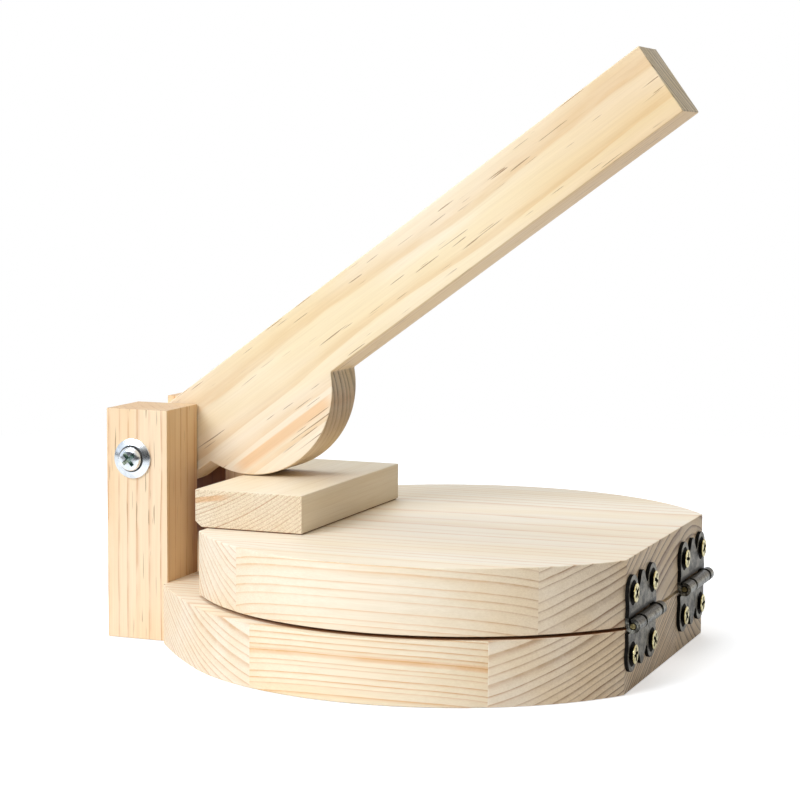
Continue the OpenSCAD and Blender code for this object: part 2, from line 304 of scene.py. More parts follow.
def add_streaks(n, wood, colour, bent, streaks):
    """Colours flat layers of wood.

    A streak is a layer's normal and offset, its reach below and above, a direction with a
    start and a stop, and a strength.
    """
    fade = 4.0
    for normal, offset, below, above, window, start, stop, amount in streaks:
        off = n.math("SUBTRACT", n.vector("DOT_PRODUCT", bent, normal), offset)
        inside = n.times(n.remap(off, -below, -below * 0.3, 0.0, amount),
                         n.remap(off, above, above * 0.6, 0.0, 1.0))
        where = n.vector("DOT_PRODUCT", bent, window)
        ends = n.times(n.remap(where, start - fade, start + fade),
                       n.remap(where, stop + fade, stop - fade))
        wood = n.mix(n.times(inside, ends), wood, colour)
    return wood


def add_dashes(n, wood, board, end, dashes, seed):
    """Short dark dashes of pitch along the grain, in patches, on the long faces."""
    dash = n.noise(n.cells(board, 12, 0.48, (seed, 2.0, 5.0)), detail=0.0)
    patch = n.noise(n.cells(board, 30, 9), detail=0.0)
    here = n.times(n.remap(dash, 0.745, 0.785), n.remap(patch, 0.42, 0.55),
                   n.math("SUBTRACT", 1.0, end), dashes)
    return n.mix(here, wood, PITCH_DASH)


def pine(name, axes, pith, ring, colours, *, ring_from=0.0, ring_grow=0.0, swerve=None, wander=1.0,
         late=(0.75, 1.0), late_from=0.82, broken=0.25, bands=(), streaks=(), dashes=0.0, seed=0.0,
         speckle=0.5, dark_end=0.9, far_tint=srgb(255, 248, 240), far_power=1.0, tints=()):
    """Sawn pine. Growth rings are cylinders round a pith line that runs along the grain.

    axes are the board's directions along, across and up, and pith is the line's place across
    and up. ring is the ring width where the distance from the pith is ring_from; the rings
    per mm grow by ring_grow with each mm from there. swerve turns the rings aside over a
    stretch of the board: where that starts and is full, a shear, a squeeze, and the height
    and ring that stay put. late is how strong the late wood's lines are on the long faces
    and on the ends, and late_from where in a ring they start. far_tint and far_power are for
    the end that faces along the grain; a power below 1 makes its lines bolder. On the boards
    that end is on the side away from the lamps, and there they paint shade. The last argument
    holds tints: pairs of a function that says where, from the place and the facing in the
    object's own directions, and a colour to multiply by. Most of them paint shade where the
    parts shade each other.
    """
    n = new_material(name)
    early, early_warm, late_colour, late_end, band_colour = colours
    coords = n.add("ShaderNodeTexCoord")
    place = n.in_mm(coords)
    along, side, high = (n.vector("DOT_PRODUCT", place, axis) for axis in axes)
    board = n.xyz(along, side, high)

    bent = wander_off(n, board, ring, wander, seed)
    if swerve:
        (start, full), shear, squeeze, still_height, still_ring = swerve
        swerving = n.remap(along, start, full)
        lift = n.times(n.math("SUBTRACT", high, still_height), swerving)
        bent = n.vector("ADD", bent, n.xyz(0.0, n.times(lift, shear), 0.0))
    radial = n.vector("SUBTRACT", bent, (0.0, *pith))
    radius = n.vector("LENGTH", n.vector("MULTIPLY", radial, (0.0, 1.0, 1.0)))
    outward = n.math("SUBTRACT", radius, ring_from)
    count = n.times(outward, 1.0 / ring)
    if ring_grow:
        count = n.math("MULTIPLY_ADD", n.times(outward, outward), ring_grow / 2, count)
    if swerve:
        beyond = n.times(n.math("SUBTRACT", count, still_ring), swerving)
        count = n.math("MULTIPLY_ADD", beyond, squeeze, count)
    late_here = late_wood(n, board, count, late_from, broken, seed)

    # End grain drinks more light, so its rings stand out more and the wood is darker.
    facing = n.vector("DOT_PRODUCT", coords.outputs["Normal"], axes[0])
    askew_to_square = (0.15, 0.95)
    end = n.remap(n.math("ABSOLUTE", facing), *askew_to_square)
    # far_end is the end that faces along the grain. On the boards it is on the side away from the
    # lamps, and its tint, bolder lines and darker late wood paint shade there.
    far_end = n.remap(facing, *askew_to_square)
    bold = n.math("POWER", late_here, n.remap(far_end, 0.5, 1.0, 1.0, far_power))
    late_amount = n.times(bold, n.remap(end, 0.0, 1.0, *late))

    # Colour that drifts over the board, then the bands, the late wood, the far end's tint and the
    # tints, which mostly paint shade.
    drift = n.noise(n.cells(board, 90, 16), detail=2.5)
    wood = n.mix(n.remap(drift, 0.35, 0.65), early, early_warm)
    wood = add_bands(n, wood, band_colour, along, radius, bands)
    wood = add_streaks(n, wood, band_colour, bent, streaks)
    wood = n.mix(late_amount, wood, n.mix(far_end, late_colour, late_end))
    if dashes:
        wood = add_dashes(n, wood, board, end, dashes, seed)
    wood = n.tint(far_end, wood, far_tint)
    for where, tint_colour in tints:
        spot = n.split(place)
        normal = n.split(coords.outputs["Normal"])
        wood = n.tint(where(n, spot, normal), wood, tint_colour)

    # Fibres: fine streaks along the grain, fine dots where they are cut across.
    fibre = n.noise(n.cells(board, 22, 0.42), detail=3.0, roughness=0.6)
    coarse = n.noise(n.cells(board, 60, 1.7))
    streak = n.math("ADD", n.times(fibre, 0.6), n.times(coarse, 0.4))
    dots = n.noise(n.cells(board, 3.0, 0.34), detail=1.0)
    dot_shade = n.remap(dots, 0.34, 0.6, 1.0 - 0.28 * speckle, 1.0, smooth=False)
    shade = n.times(
        n.remap(streak, 0.3, 0.7, 1.0 - 0.07 - 0.03 * speckle, 1.03, smooth=False),
        n.math("ADD", n.times(n.math("SUBTRACT", dot_shade, 1.0), end), 1.0),
        n.remap(end, 0.0, 1.0, 1.0, dark_end, smooth=False),
    )
    shade_colour = n.add("ShaderNodeCombineColor", {
        "Red": n.math("POWER", shade, 0.8), "Green": shade, "Blue": n.math("POWER", shade, 1.35),
    }).outputs[0]
    wood = n.mix(1.0, wood, shade_colour, "MULTIPLY")

    height = n.math("MULTIPLY_ADD", late_here, 0.35, n.times(fibre, 0.5))
    height = n.math("MULTIPLY_ADD", n.times(dots, end), 0.9, height)
    bump = n.add("ShaderNodeBump", {"Height": height, "Strength": 0.22, "Distance": 0.25 * MM})
    return n.finish({
        "Base Color": wood,
        "Roughness": n.remap(streak, 0.3, 0.7, 0.56, 0.44, smooth=False),
        "Specular IOR Level": 0.5,
        "Normal": bump.outputs[0],
    })


def faces_along(n, normal, direction):
    """How squarely the surface faces along a direction, from -1 to 1."""
    return n.vector("DOT_PRODUCT", n.xyz(normal["X"], normal["Y"], normal["Z"]), direction)


def in_the_slit(n, spot, normal):
    """Painted shade: the faces between the boards near their rim, less so towards the posts."""
    level = n.remap(n.math("ABSOLUTE", normal["Z"]), 0.7, 0.95)
    at_slit = n.math("COMPARE", spot["Z"], (BASE_T + UPPER_Z) / 2, 0.8)
    flat = n.xyz(n.math("SUBTRACT", spot["X"], UPPER_SHIFT), spot["Y"], 0.0)
    radius = n.vector("LENGTH", flat)
    under = n.times(n.math("LESS_THAN", radius, UPPER_R),
                    n.math("GREATER_THAN", spot["X"], -UPPER_FLAT_X))
    rim = n.math("MAXIMUM", n.remap(radius, UPPER_R - 7.0, UPPER_R),
                 n.remap(spot["X"], -UPPER_FLAT_X + 6.0, -UPPER_FLAT_X))
    fade = n.remap(spot["X"], -66.0, -10.0, 0.2, 1.0)
    return n.times(level, at_slit, under, rim, fade)


# Painted shade in the slit between the boards, multiplied into their wood.
SLIT_SHADE = ((in_the_slit, srgb(190, 148, 110)),)


def grain_axes(turn):
    """A board's directions along, across and up, where its grain is turned from X by turn."""
    return (math.cos(turn), math.sin(turn), 0), (-math.sin(turn), math.cos(turn), 0), (0, 0, 1)


def base_pine():
    axes = grain_axes(BASE_TURN)
    return {
        "front": pine("pine_base_front", axes, (-100, -45), 1.9, WARM_PINE, ring_from=50.0,
                      wander=0.6, late=(0.9, 1.0), late_from=0.76, bands=((59.4, 1.4, 0.6),),
                      seed=2.0, far_power=0.6, tints=SLIT_SHADE),
        "middle": pine("pine_base_middle", axes, (185, -401), 1.3, DARK_LINED_PINE,
                       ring_from=450.0, ring_grow=-0.0095, late=(0.8, 1.0), late_from=0.74,
                       seed=5.0, far_power=0.6, tints=SLIT_SHADE),
        "rear": pine("pine_base_rear", axes, (90, 95), 3.1, DARK_LINED_PINE, seed=8.0,
                     far_power=0.6, tints=SLIT_SHADE),
    }


def upper_pine():
    axes = grain_axes(UPPER_TURN)
    swerve = ((-34.0, -56.0), 0.5, 0.65, 31.0, 9.1)
    return {
        "front": pine("pine_upper_front", axes, (-98, -30), 2.7, PINE, wander=0.6, seed=11.0,
                      tints=SLIT_SHADE),
        "middle": pine("pine_upper_middle", axes, (39, -122), 4.0, DARK_LINED_PINE,
                       ring_from=157.0, ring_grow=0.0045, swerve=swerve, late=(0.6, 1.0),
                       late_from=0.8, seed=14.0, far_power=0.5, tints=SLIT_SHADE),
        "rear": pine("pine_upper_rear", axes, (29, 1), 3.0, DARK_LINED_PINE, seed=17.0,
                     far_power=0.5, tints=SLIT_SHADE),
    }


def pad_pine():
    return pine("pine_pad", ((0, 1, 0), (1, 0, 0), (0, 0, 1)), (-106, 145), 1.2, PAD_PINE,
                wander=0.5, late=(0.14, 0.95), seed=21.0, speckle=0.9, dark_end=0.97,
                streaks=(((0, -0.17, 1.0), 62.2, 1.3, 1.2, (0, 1, 0), -80.0, -60.0, 0.7),))


def on_the_cheek(n, spot, normal):
    """Painted shade on the posts' faces towards the lever, below its pivot, in the hollow between
    them.
    """
    inner = n.remap(n.math("ABSOLUTE", spot["Y"]), POST_INNER + 0.5, POST_INNER)
    above_base = n.remap(spot["Z"], BASE_T, BASE_T + 12.0)
    return n.times(inner, above_base, n.remap(spot["Z"], 66.0, 58.0))


# Painted shade on the posts' faces towards the boards, the side away from the lamps.
def towards_the_boards(n, spot, normal):
    return n.remap(normal["X"], 0.6, 0.9)


# More painted shade on those faces, near the lever and low down, where the lever and the upper board
# shade them.
def beside_the_lever(n, spot, normal):
    near = n.remap(n.math("ABSOLUTE", spot["Y"]), 24.0, POST_INNER)
    low = n.remap(spot["Z"], 62.0, 46.0)
    return n.times(towards_the_boards(n, spot, normal), near, low)


def post_pine(name, pith, seed):
    """The posts' wood, with shade painted browner where the lever and the boards shade them."""
    return pine("pine_" + name, ((0, 0, 1), (1, 0, 0), (0, 1, 0)), pith, 2.9, POST_PINE,
                wander=0.7, late=(0.85, 0.55), broken=0.8, dashes=0.7, seed=seed, speckle=0.7,
                dark_end=0.82,
                tints=((on_the_cheek, srgb(106, 66, 28)),
                        (towards_the_boards, srgb(242, 232, 214)),
                        (beside_the_lever, srgb(176, 146, 112))))


LEVER_ALONG = (math.cos(LEVER_SLOPE), 0, math.sin(LEVER_SLOPE))
LEVER_RISE = (-math.sin(LEVER_SLOPE), 0, math.cos(LEVER_SLOPE))


def on_the_cam_edge(n, spot, normal):
    """Painted shade on the cam's curved edge towards the hinges, and more so low down."""
    along = n.math("MULTIPLY_ADD", spot["X"], LEVER_ALONG[0], n.times(spot["Z"], LEVER_ALONG[2]))
    facing = faces_along(n, normal, LEVER_ALONG)
    return n.times(n.remap(facing, 0.1, 0.7), n.remap(spot["Z"], 92.0, 62.0, 0.2, 1.0),
                   n.remap(along, 60.0, 40.0))


# Painted shade on the lever's faces turned down.
def on_the_underside(n, spot, normal):
    return n.remap(faces_along(n, normal, LEVER_RISE), -0.5, -0.9)


def towards_the_tip(n, spot, normal):
    beside_the_end = n.remap(faces_along(n, normal, LEVER_ALONG), 0.7, 0.3)
    return n.times(n.remap(spot["X"], 0.0, 70.0), beside_the_end)


def lever_pine():
    return pine("pine_lever", (LEVER_ALONG, LEVER_RISE, (0, 1, 0)), (138, 95), 3.2, LEVER_PINE,
                wander=0.8, late=(0.5, 0.95), late_from=0.64, dashes=0.75, seed=41.0,
                dark_end=0.84, far_tint=srgb(238, 238, 234),
                streaks=(((0, 1, 0), 88.4, 2.8, 2.2, (1, 0, 0), -25.0, 17.0, 0.6),),
                tints=((on_the_cam_edge, srgb(196, 174, 136)),
                        (on_the_underside, srgb(242, 233, 220)),
                        (towards_the_tip, srgb(246, 236, 221))))


# The dark brown of the slab under the pad is painted shade in the seam.
def glue_material():
    n = new_material("old_glue")
    mottle = n.noise(n.in_mm(n.add("ShaderNodeTexCoord")), 0.6, 3.0)
    return n.finish({"Base Color": n.mix(mottle, srgb(74, 28, 8), srgb(128, 66, 28)),
                     "Roughness": 0.8, "Specular IOR Level": 0.2})


def add_barrel_shade(n, base, place, grainy):
    """Painted shade: blackens a hinge along the top of its barrel, where it meets the leaf above."""
    z = n.math("MULTIPLY_ADD", grainy, 0.8, n.split(place)["Z"])
    barrel_shade = n.times(n.remap(z, PIN_Z + 1.1, PIN_Z + 2.1), n.remap(z, PIN_Z + 4.3, PIN_Z + 3.6))
    return n.mix(n.times(barrel_shade, 0.85), base, srgb(24, 23, 21))


def metal(name, colour, other, roughness, *, metallic=1.0, patch=3.0, bump=0.1, specular=0.5,
          barrel_shade=False):
    """Plated or bronzed metal: two tones in patches about patch mm wide, and a faint bump."""
    n = new_material(name)
    place = n.in_mm(n.add("ShaderNodeTexCoord"))
    patches = n.noise(place, 1 / patch, 3.0, 0.6)
    grainy = n.noise(place, 3.5, 2.0, 0.6)
    base = n.mix(n.remap(patches, 0.4, 0.62), colour, other)
    base = n.mix(n.remap(grainy, 0.5, 0.75, 0.0, 0.35), base, other)
    # Painted shade along the top of a hinge's barrel.
    if barrel_shade:
        base = add_barrel_shade(n, base, place, grainy)
    rough = n.remap(grainy, 0.3, 0.7, roughness * 0.8, roughness * 1.25)
    height = n.math("MULTIPLY_ADD", patches, 0.6, grainy)
    bumped = n.add("ShaderNodeBump", {"Height": height, "Strength": bump, "Distance": 0.1 * MM})
    return n.finish({"Base Color": base, "Metallic": metallic, "Roughness": rough,
                     "Specular IOR Level": specular, "Normal": bumped.outputs[0]})


zinc = metal("bright_zinc", srgb(242, 247, 250), srgb(216, 222, 227), 0.16, patch=5.0)
recess_zinc = metal("shadowed_zinc", srgb(186, 206, 200), srgb(128, 148, 142), 0.22, patch=1.0)
yellow_zinc = metal("yellow_zinc", srgb(236, 226, 172), srgb(178, 160, 100), 0.2, patch=1.0)
bronze = metal("bronzed_sheet", srgb(126, 122, 110), srgb(56, 53, 46), 0.38, metallic=0.75,
               bump=0.35, barrel_shade=True)
barrel_metal = metal("worn_and_shaded_barrel", srgb(138, 138, 130), srgb(54, 53, 48), 0.3, metallic=0.85,
                     patch=1.8, bump=0.4, barrel_shade=True)
dark_steel = metal("dark_steel", srgb(86, 84, 82), srgb(58, 56, 54), 0.4, metallic=0.9)
# Matt black that paints shade: in countersinks and crosses, on the leaves' edges, on the pin between
# knuckles, under the screws' heads.
shadow_metal = metal("painted_shadow_metal", srgb(24, 22, 19), srgb(12, 11, 9), 0.8, metallic=0.0,
                     patch=1.5, specular=0.08)
brass = metal("dull_brass", srgb(136, 126, 90), srgb(92, 84, 56), 0.4, patch=1.0)


# Shapes.
def mesh_object(name, bm, material=None):
    mesh = bpy.data.meshes.new(name)
    bmesh.ops.recalc_face_normals(bm, faces=bm.faces)
    bm.to_mesh(mesh)
    bm.free()
    obj = bpy.data.objects.new(name, mesh)
    bpy.context.scene.collection.objects.link(obj)
    if material:
        mesh.materials.append(material)
    return obj


def apply_modifiers(obj):
    """Bakes the object's modifiers into its mesh."""
    bpy.context.view_layer.update()
    depsgraph = bpy.context.evaluated_depsgraph_get()
    mesh = bpy.data.meshes.new_from_object(obj.evaluated_get(depsgraph), depsgraph=depsgraph)
    obj.modifiers.clear()
    old = obj.data
    obj.data = mesh
    bpy.data.meshes.remove(old)
    return obj


def round_edges(obj, width, segments=3, angle=30.0, weigh=None):
    """Rounds the sharp edges. weigh(a, b) gives an edge's share of the width, by its ends in mm."""
    mesh = obj.data
    bevel = obj.modifiers.new("round", "BEVEL")
    bevel.width = width * MM
    bevel.segments = segments
    bevel.use_clamp_overlap = True
    bevel.miter_outer = "MITER_ARC"
    if weigh is None:
        bevel.limit_method = "ANGLE"
        bevel.angle_limit = math.radians(angle)
    else:
        bevel.limit_method = "WEIGHT"
        bm = bmesh.new()
        bm.from_mesh(mesh)
        layer = bm.edges.layers.float.new("bevel_weight_edge")
        for edge in bm.edges:
            if edge.calc_face_angle(0.0) > math.radians(angle):
                edge[layer] = weigh(*(v.co / MM for v in edge.verts))
                edge.smooth = edge[layer] > 0.0
        bm.to_mesh(mesh)
        bm.free()
    for polygon in mesh.polygons:
        polygon.use_smooth = True
    weighted = obj.modifiers.new("normals", "WEIGHTED_NORMAL")
    weighted.weight = 100
    weighted.keep_sharp = True
    return apply_modifiers(obj)


def smooth(obj, angle):
    """Shades the object smooth, except over edges sharper than the angle in degrees."""
    for polygon in obj.data.polygons:
        polygon.use_smooth = True
    obj.data.set_sharp_from_angle(angle=math.radians(angle))
    return obj


def paint(obj, material, chosen):
    """Gives another material to the faces chosen by their centre, in mm, and their normal."""
    obj.data.materials.append(material)
    for polygon in obj.data.polygons:
        if chosen(polygon.center / MM, polygon.normal):
            polygon.material_index = len(obj.data.materials) - 1


def point(place, a, b, c):
    """A point in metres, from its place in mm."""
    return Vector(place(a, b, c)) * MM


def as_drawn(a, b, c):
    return a, b, c


def prism(outline, low, high, place=as_drawn):
    """A bmesh of an outline in mm drawn out from low to high."""
    bm = bmesh.new()
    lower = [bm.verts.new(point(place, a, b, low)) for a, b in outline]
    upper = [bm.verts.new(point(place, a, b, high)) for a, b in outline]
    bm.faces.new(list(reversed(lower)))
    bm.faces.new(upper)
    for i in range(len(outline)):
        j = (i + 1) % len(outline)
        bm.faces.new((lower[i], lower[j], upper[j], upper[i]))
    return bm


def lathe(profile, steps, place):
    """A solid turned round an axis. profile holds (radius, height) pairs, from axis to axis."""
    bm = bmesh.new()
    rings = []
    for radius, height in profile:
        if radius == 0:
            rings.append([bm.verts.new(point(place, 0.0, 0.0, height))])
            continue
        rings.append([
            bm.verts.new(point(place, radius * math.cos(a), radius * math.sin(a), height))
            for a in (2 * math.pi * i / steps for i in range(steps))
        ])
    for low, high in zip(rings, rings[1:]):
        for i in range(steps):
            j = (i + 1) % steps
            corners = [low[i % len(low)], low[j % len(low)], high[j % len(high)], high[i % len(high)]]
            unique = list(dict.fromkeys(corners))
            if len(unique) > 2:
                bm.faces.new(unique)
    return bm


def arc(centre, radius, start, end, steps):
    """Points along an arc, angles in degrees."""
    points = []
    for i in range(steps + 1):
        a = math.radians(start + (end - start) * i / steps)
        points.append((centre[0] + radius * math.cos(a), centre[1] + radius * math.sin(a)))
    return points


def bulged(start, end, sagitta, steps):
    """Points after start, up to end, along a shallow curve that bulges to the right of the way."""
    dx, dy = end[0] - start[0], end[1] - start[1]
    span = math.hypot(dx, dy)
    points = []
    for i in range(1, steps + 1):
        t = i / steps
        out = 4 * sagitta * t * (1 - t) / span
        points.append((start[0] + dx * t + dy * out, start[1] + dy * t - dx * out))
    return points


def rectangle(x, y):
    return [(x[0], y[0]), (x[1], y[0]), (x[1], y[1]), (x[0], y[1])]


def clip(outline, normal, limit):
    """The part of a convex outline where its points' product with normal is below limit."""
    kept = []
    for i, a in enumerate(outline):
        b = outline[(i + 1) % len(outline)]
        da = a[0] * normal[0] + a[1] * normal[1] - limit
        db = b[0] * normal[0] + b[1] * normal[1] - limit
        if da <= 0:
            kept.append(a)
        if da * db < 0:
            t = da / (da - db)
            kept.append((a[0] + (b[0] - a[0]) * t, a[1] + (b[1] - a[1]) * t))
    return kept


def boolean(obj, other, operation, self_cross=False):
    """Adds or takes away the other mesh. Its faces bring their own material along."""
    modifier = obj.modifiers.new(operation, "BOOLEAN")
    modifier.operation = operation
    modifier.object = other
    modifier.solver = "EXACT"
    modifier.use_self = self_cross
    if other.data.materials:
        modifier.material_mode = "TRANSFER"
    apply_modifiers(obj)
    bpy.data.objects.remove(other)
    return obj


def cut(obj, shape, material=None, self_cross=False):
    """Takes the shape away. The material, if any, lines the cut."""
    return boolean(obj, mesh_object("cutter", shape, material), "DIFFERENCE", self_cross)


def join(objects, name):
    """Joins meshes into the first object."""
    bm = bmesh.new()
    slots = []
    for obj in objects:
        start = len(bm.faces)
        bm.from_mesh(obj.data)
        bm.faces.ensure_lookup_table()
        for face in bm.faces[start:]:
            material = obj.data.materials[face.material_index]
            if material not in slots:
                slots.append(material)
            face.material_index = slots.index(material)
    first = objects[0]
    first.data.materials.clear()
    for material in slots:
        first.data.materials.append(material)
    bm.to_mesh(first.data)
    bm.free()
    for obj in objects[1:]:
        bpy.data.objects.remove(obj)
    first.name = name
    return first


def put(obj, body, slot, *nodes):
    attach(obj, body)
    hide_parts(*nodes)
    return obj


# The boards.
def base_outline():
    """The lower board: a disc with a flat for the hinges and flatter runs to the post flat.

    It is a hair smaller than the solid, whose coarser facets fall short of the full radius.
    """
    outline = arc((0, 0), BASE_R - FACET_SHORTFALL, RUN_START - 180, 180 - RUN_START, 300)
    run = bulged(outline[-1], (-POST_FLAT_X, POST_FLAT_HALF), RUN_BULGE, 24)
    outline += run + [(x, -y) for x, y in reversed(run)]
    return clip(outline, (1, 0), HINGE_FLAT_X)


def upper_outline():
    outline = arc((UPPER_SHIFT, 0), UPPER_R, -180, 178.8, 299)
    return clip(clip(outline, (1, 0), HINGE_FLAT_X), (-1, 0), UPPER_FLAT_X)


def stave(name, outline, joints, turn, heights, body, material):
    """One stave: the part of a board between two joints across its grain."""
    across = (-math.sin(turn), math.cos(turn))
    start, end = joints
    for limit, sign in ((end, 1), (start, -1)):
        if limit is not None:
            outline = clip(outline, (across[0] * sign, across[1] * sign), limit * sign)
    near = 0.01

    def weigh(a, b):
        """Joints stay sharp, and the edges at the slit between the boards are less round."""
        for limit in joints:
            if limit is not None and all(
                abs(p.x * across[0] + p.y * across[1] - limit) < near for p in (a, b)
            ):
                return 0.0
        return 0.6 if all(BASE_T - near < p.z < UPPER_Z + near for p in (a, b)) else 1.0

    obj = mesh_object(name + "_wood", prism(outline, *heights), material)
    round_edges(obj, STAVE_EDGE, weigh=weigh)
    return put(obj, body, "board_pine", name)


def glued_board(prefix, outline, joints, turn, heights, body, materials):
    """A board's three staves."""
    first, second = joints
    between = {"front": (None, first), "middle": (first, second), "rear": (second, None)}
    for key, material in materials.items():
        stave(f"{prefix}_{key}_stave", outline, between[key], turn, heights, body, material)


glued_board("base", base_outline(), BASE_JOINTS, BASE_TURN, (0.0, BASE_T), "base", base_pine())
glued_board("upper", upper_outline(), UPPER_JOINTS, UPPER_TURN, (UPPER_Z, UPPER_TOP),
            "upper_board", upper_pine())


def pressure_pad():
    """The pad, its grain from front to back, a little above the board on a dark slab set back under
    it. The gap casts real shade, and the slab's dark brown paints more shade there.
    """
    left, right = PAD_X
    bottom, top = PAD_Z
    above_glue = bottom + PAD_SEAM
    outline = [(left + PAD_CHAMFER, above_glue), (right, above_glue), (right, top), (left, top),
               (left, bottom + PAD_CHAMFER)]
    pad = mesh_object("pressure_pad_block",
                      prism(outline, *PAD_Y, place=lambda x, z, y: (x, y, z)), pad_pine())
    round_edges(pad, PAD_EDGE)
    glue_outline = rectangle((left + PAD_CHAMFER + PAD_SEAM_INSET, right - PAD_SEAM_INSET),
                             (PAD_Y[0] + PAD_SEAM_INSET, PAD_Y[1] - PAD_SEAM_INSET))
    into_pad = 0.1
    glue = mesh_object("glue", prism(glue_outline, bottom, above_glue + into_pad), glue_material())
    boolean(pad, glue, "UNION")
    pad.name = "pressure_pad_wood"
    put(pad, "upper_board", "pad_pine", "pressure_pad")


pressure_pad()


# The posts.
def post_screw_places(side):
    """For each of a post's two screws, the places round it by their height c off the post."""
    places = []
    for i in (0, 1):
        y = side * (POST_INNER + POST_SIDE / 2 + (i - 0.5) * POST_SCREW_STAGGER)
        z = POST_SCREW_Z + i * POST_SCREW_PITCH
        places.append(lambda a, b, c, y=y, z=z: (POST_X[0] - c, y + a, z + b))
    return places


def post(name, side, pith, seed):
    y = sorted((side * POST_INNER, side * POST_OUT))
    obj = mesh_object(name + "_wood", prism(rectangle(POST_X, y), 0.0, POST_TOP),
                      post_pine(name, pith, seed))
    bore_r = POST_SCREW_R + FIT
    through = POST_SIDE + 7.5
    profile = [(0, -through), (bore_r, -through), (bore_r, -POST_SINK_DEPTH), (POST_SINK_R, 0.0),
               (POST_SINK_R, 1.0), (0, 1.0)]
    for place in post_screw_places(side):
        cut(obj, lathe(profile, 48, place))
    round_edges(obj, POST_EDGE)
    return put(obj, "base", "post_pine", name)


post("front_post", -1, (-18, 38), 31.0)
post("rear_post", 1, (-160, 60), 34.0)


# The lever: handle, cam and pivot end sawn from one plank.
def lever_point(a, b, c):
    """A place by its distance a along the lever from the bolt and b above its middle line."""
    return (BOLT_X + a * LEVER_ALONG[0] + b * LEVER_RISE[0], -c,
            BOLT_Z + a * LEVER_ALONG[2] + b * LEVER_RISE[2])


def lever():
    half = LEVER_W / 2
    meet = math.degrees(math.asin(half / CAM_R))
    cam = arc((CAM_OFFSET, 0), CAM_R, 180 + meet, 360 - meet, 96)
    outline = arc((0, 0), half, 90, 270, 48) + cam + [(LEVER_REACH, -half), (LEVER_REACH, half)]
    obj = mesh_object("lever_wood", prism(outline, -LEVER_T / 2, LEVER_T / 2, lever_point),
                      lever_pine())
    bore_r = BOLT_R + FIT
    bore = lathe([(0, -LEVER_T), (bore_r, -LEVER_T), (bore_r, LEVER_T), (0, LEVER_T)], 64,
                 lever_point)
    cut(obj, bore)
    round_edges(obj, LEVER_EDGE)
    put(obj, "lever", "lever_pine", "lever")


lever()


# Crosses for a driver.
def cross_cutter(place, face, span, width, depth, turn):
    """A tapered cross with its mouth at the height face."""
    mouth = (span / 2, width / 2)
    bm = bmesh.new()
    for quarter in (0, 90):
        angle = math.radians(turn + quarter)
        ca, sa = math.cos(angle), math.sin(angle)
        rings = []
        for height, (half_span, half_width) in (
            (face + 0.3, mouth), (face, mouth), (face - depth, (span * 0.2, width * 0.36)),
        ):
            corners = rectangle((-half_span, half_span), (-half_width, half_width))
            rings.append([bm.verts.new(point(place, a * ca - b * sa, a * sa + b * ca, height))
                          for a, b in corners])
        bm.faces.new(rings[0])
        bm.faces.new(list(reversed(rings[-1])))
        for upper, lower in zip(rings, rings[1:]):
            for i in range(4):
                j = (i + 1) % 4
                bm.faces.new((upper[i], upper[j], lower[j], lower[i]))
    return bm


def cut_cross(obj, place, face, span, width, depth, turn, material):
    cross = cross_cutter(place, face, span, width, depth, turn)
    return cut(obj, cross, material, self_cross=True)


# The bolt runs along Y through both posts.
def bolt_point(a, b, c):
    """A place by its height c off the front post's face."""
    return (BOLT_X + a, -POST_OUT - c, BOLT_Z + b)


def rear_point(a, b, c):
    """A place by its height c off the rear post's face."""
    return (BOLT_X + a, POST_OUT + c, BOLT_Z + b)


def front_washer():
    """A cone washer. The flat ring round the bolt's head is dark steel, painted shade under the
    head's edge.
    """
    bore_r = BOLT_R + FIT
    flat_r = BOLT_HEAD_R + 0.45
    washer = mesh_object("front_washer_cone", lathe([
        (bore_r, 0.0), (WASHER_R - 0.15, 0.0), (WASHER_R, 0.15), (WASHER_R, 0.5),
        (WASHER_R - 0.12, 0.68), (WASHER_R - 0.4, 0.78), (flat_r + 0.25, WASHER_CONE_H - 0.04),
        (flat_r, WASHER_CONE_H), (bore_r, WASHER_CONE_H), (bore_r, 0.0),
    ], 96, bolt_point), zinc)
    paint(washer, dark_steel, lambda at, _: math.hypot(at.x - BOLT_X, at.z - BOLT_Z) < flat_r)
    put(smooth(washer, 30), "base", "bolt_zinc", "front_washer")


def pivot_bolt():
    """The bolt, with a rounded head at the front and thread where it comes out of the nut."""
    nut_face = -2 * POST_OUT - WASHER_DISC_H - NUT_H
    end = nut_face - BOLT_STANDS_OUT
    root_r = BOLT_R - THREAD_DEPTH
    thread = []
    height = end + 0.45
    while height < nut_face - 0.2:
        thread += [(BOLT_R, height + 0.1), (BOLT_R, height + 0.2), (root_r, height + 0.45),
                   (root_r, height + 0.5)]
        height += THREAD_PITCH
    head = WASHER_CONE_H
    bolt = mesh_object("pivot_bolt_phillips", lathe(
        [(0, end), (BOLT_R - 0.45, end), (BOLT_R - 0.3, end + 0.2)] + thread + [
            (BOLT_R, height), (BOLT_R, head), (BOLT_HEAD_R - 0.1, head),
            (BOLT_HEAD_R, head + 0.12), (BOLT_HEAD_R, head + 0.75),
            (BOLT_HEAD_R - 0.12, head + 1.1), (BOLT_HEAD_R - 0.45, head + 1.5),
            (BOLT_HEAD_R - 1.0, head + 1.76), (BOLT_HEAD_R - 1.9, head + 1.88),
            (0, head + BOLT_HEAD_H),
        ], 96, bolt_point), zinc)
    cut_cross(bolt, bolt_point, head + BOLT_HEAD_H, 5.4, 1.3, 1.5, 38, recess_zinc)
    put(smooth(bolt, 32), "base", "bolt_zinc", "pivot_bolt")


def rear_washer():
    bore_r = BOLT_R + FIT
    washer = mesh_object("rear_washer_disc", lathe([
        (bore_r, 0.0), (WASHER_R - 0.1, 0.0), (WASHER_R, 0.1), (WASHER_R, WASHER_DISC_H - 0.12),
        (WASHER_R - 0.12, WASHER_DISC_H), (bore_r + 0.2, WASHER_DISC_H),
        (bore_r, WASHER_DISC_H - 0.15), (bore_r, 0.0),
    ], 96, rear_point), zinc)
    put(smooth(washer, 30), "base", "bolt_zinc", "rear_washer")


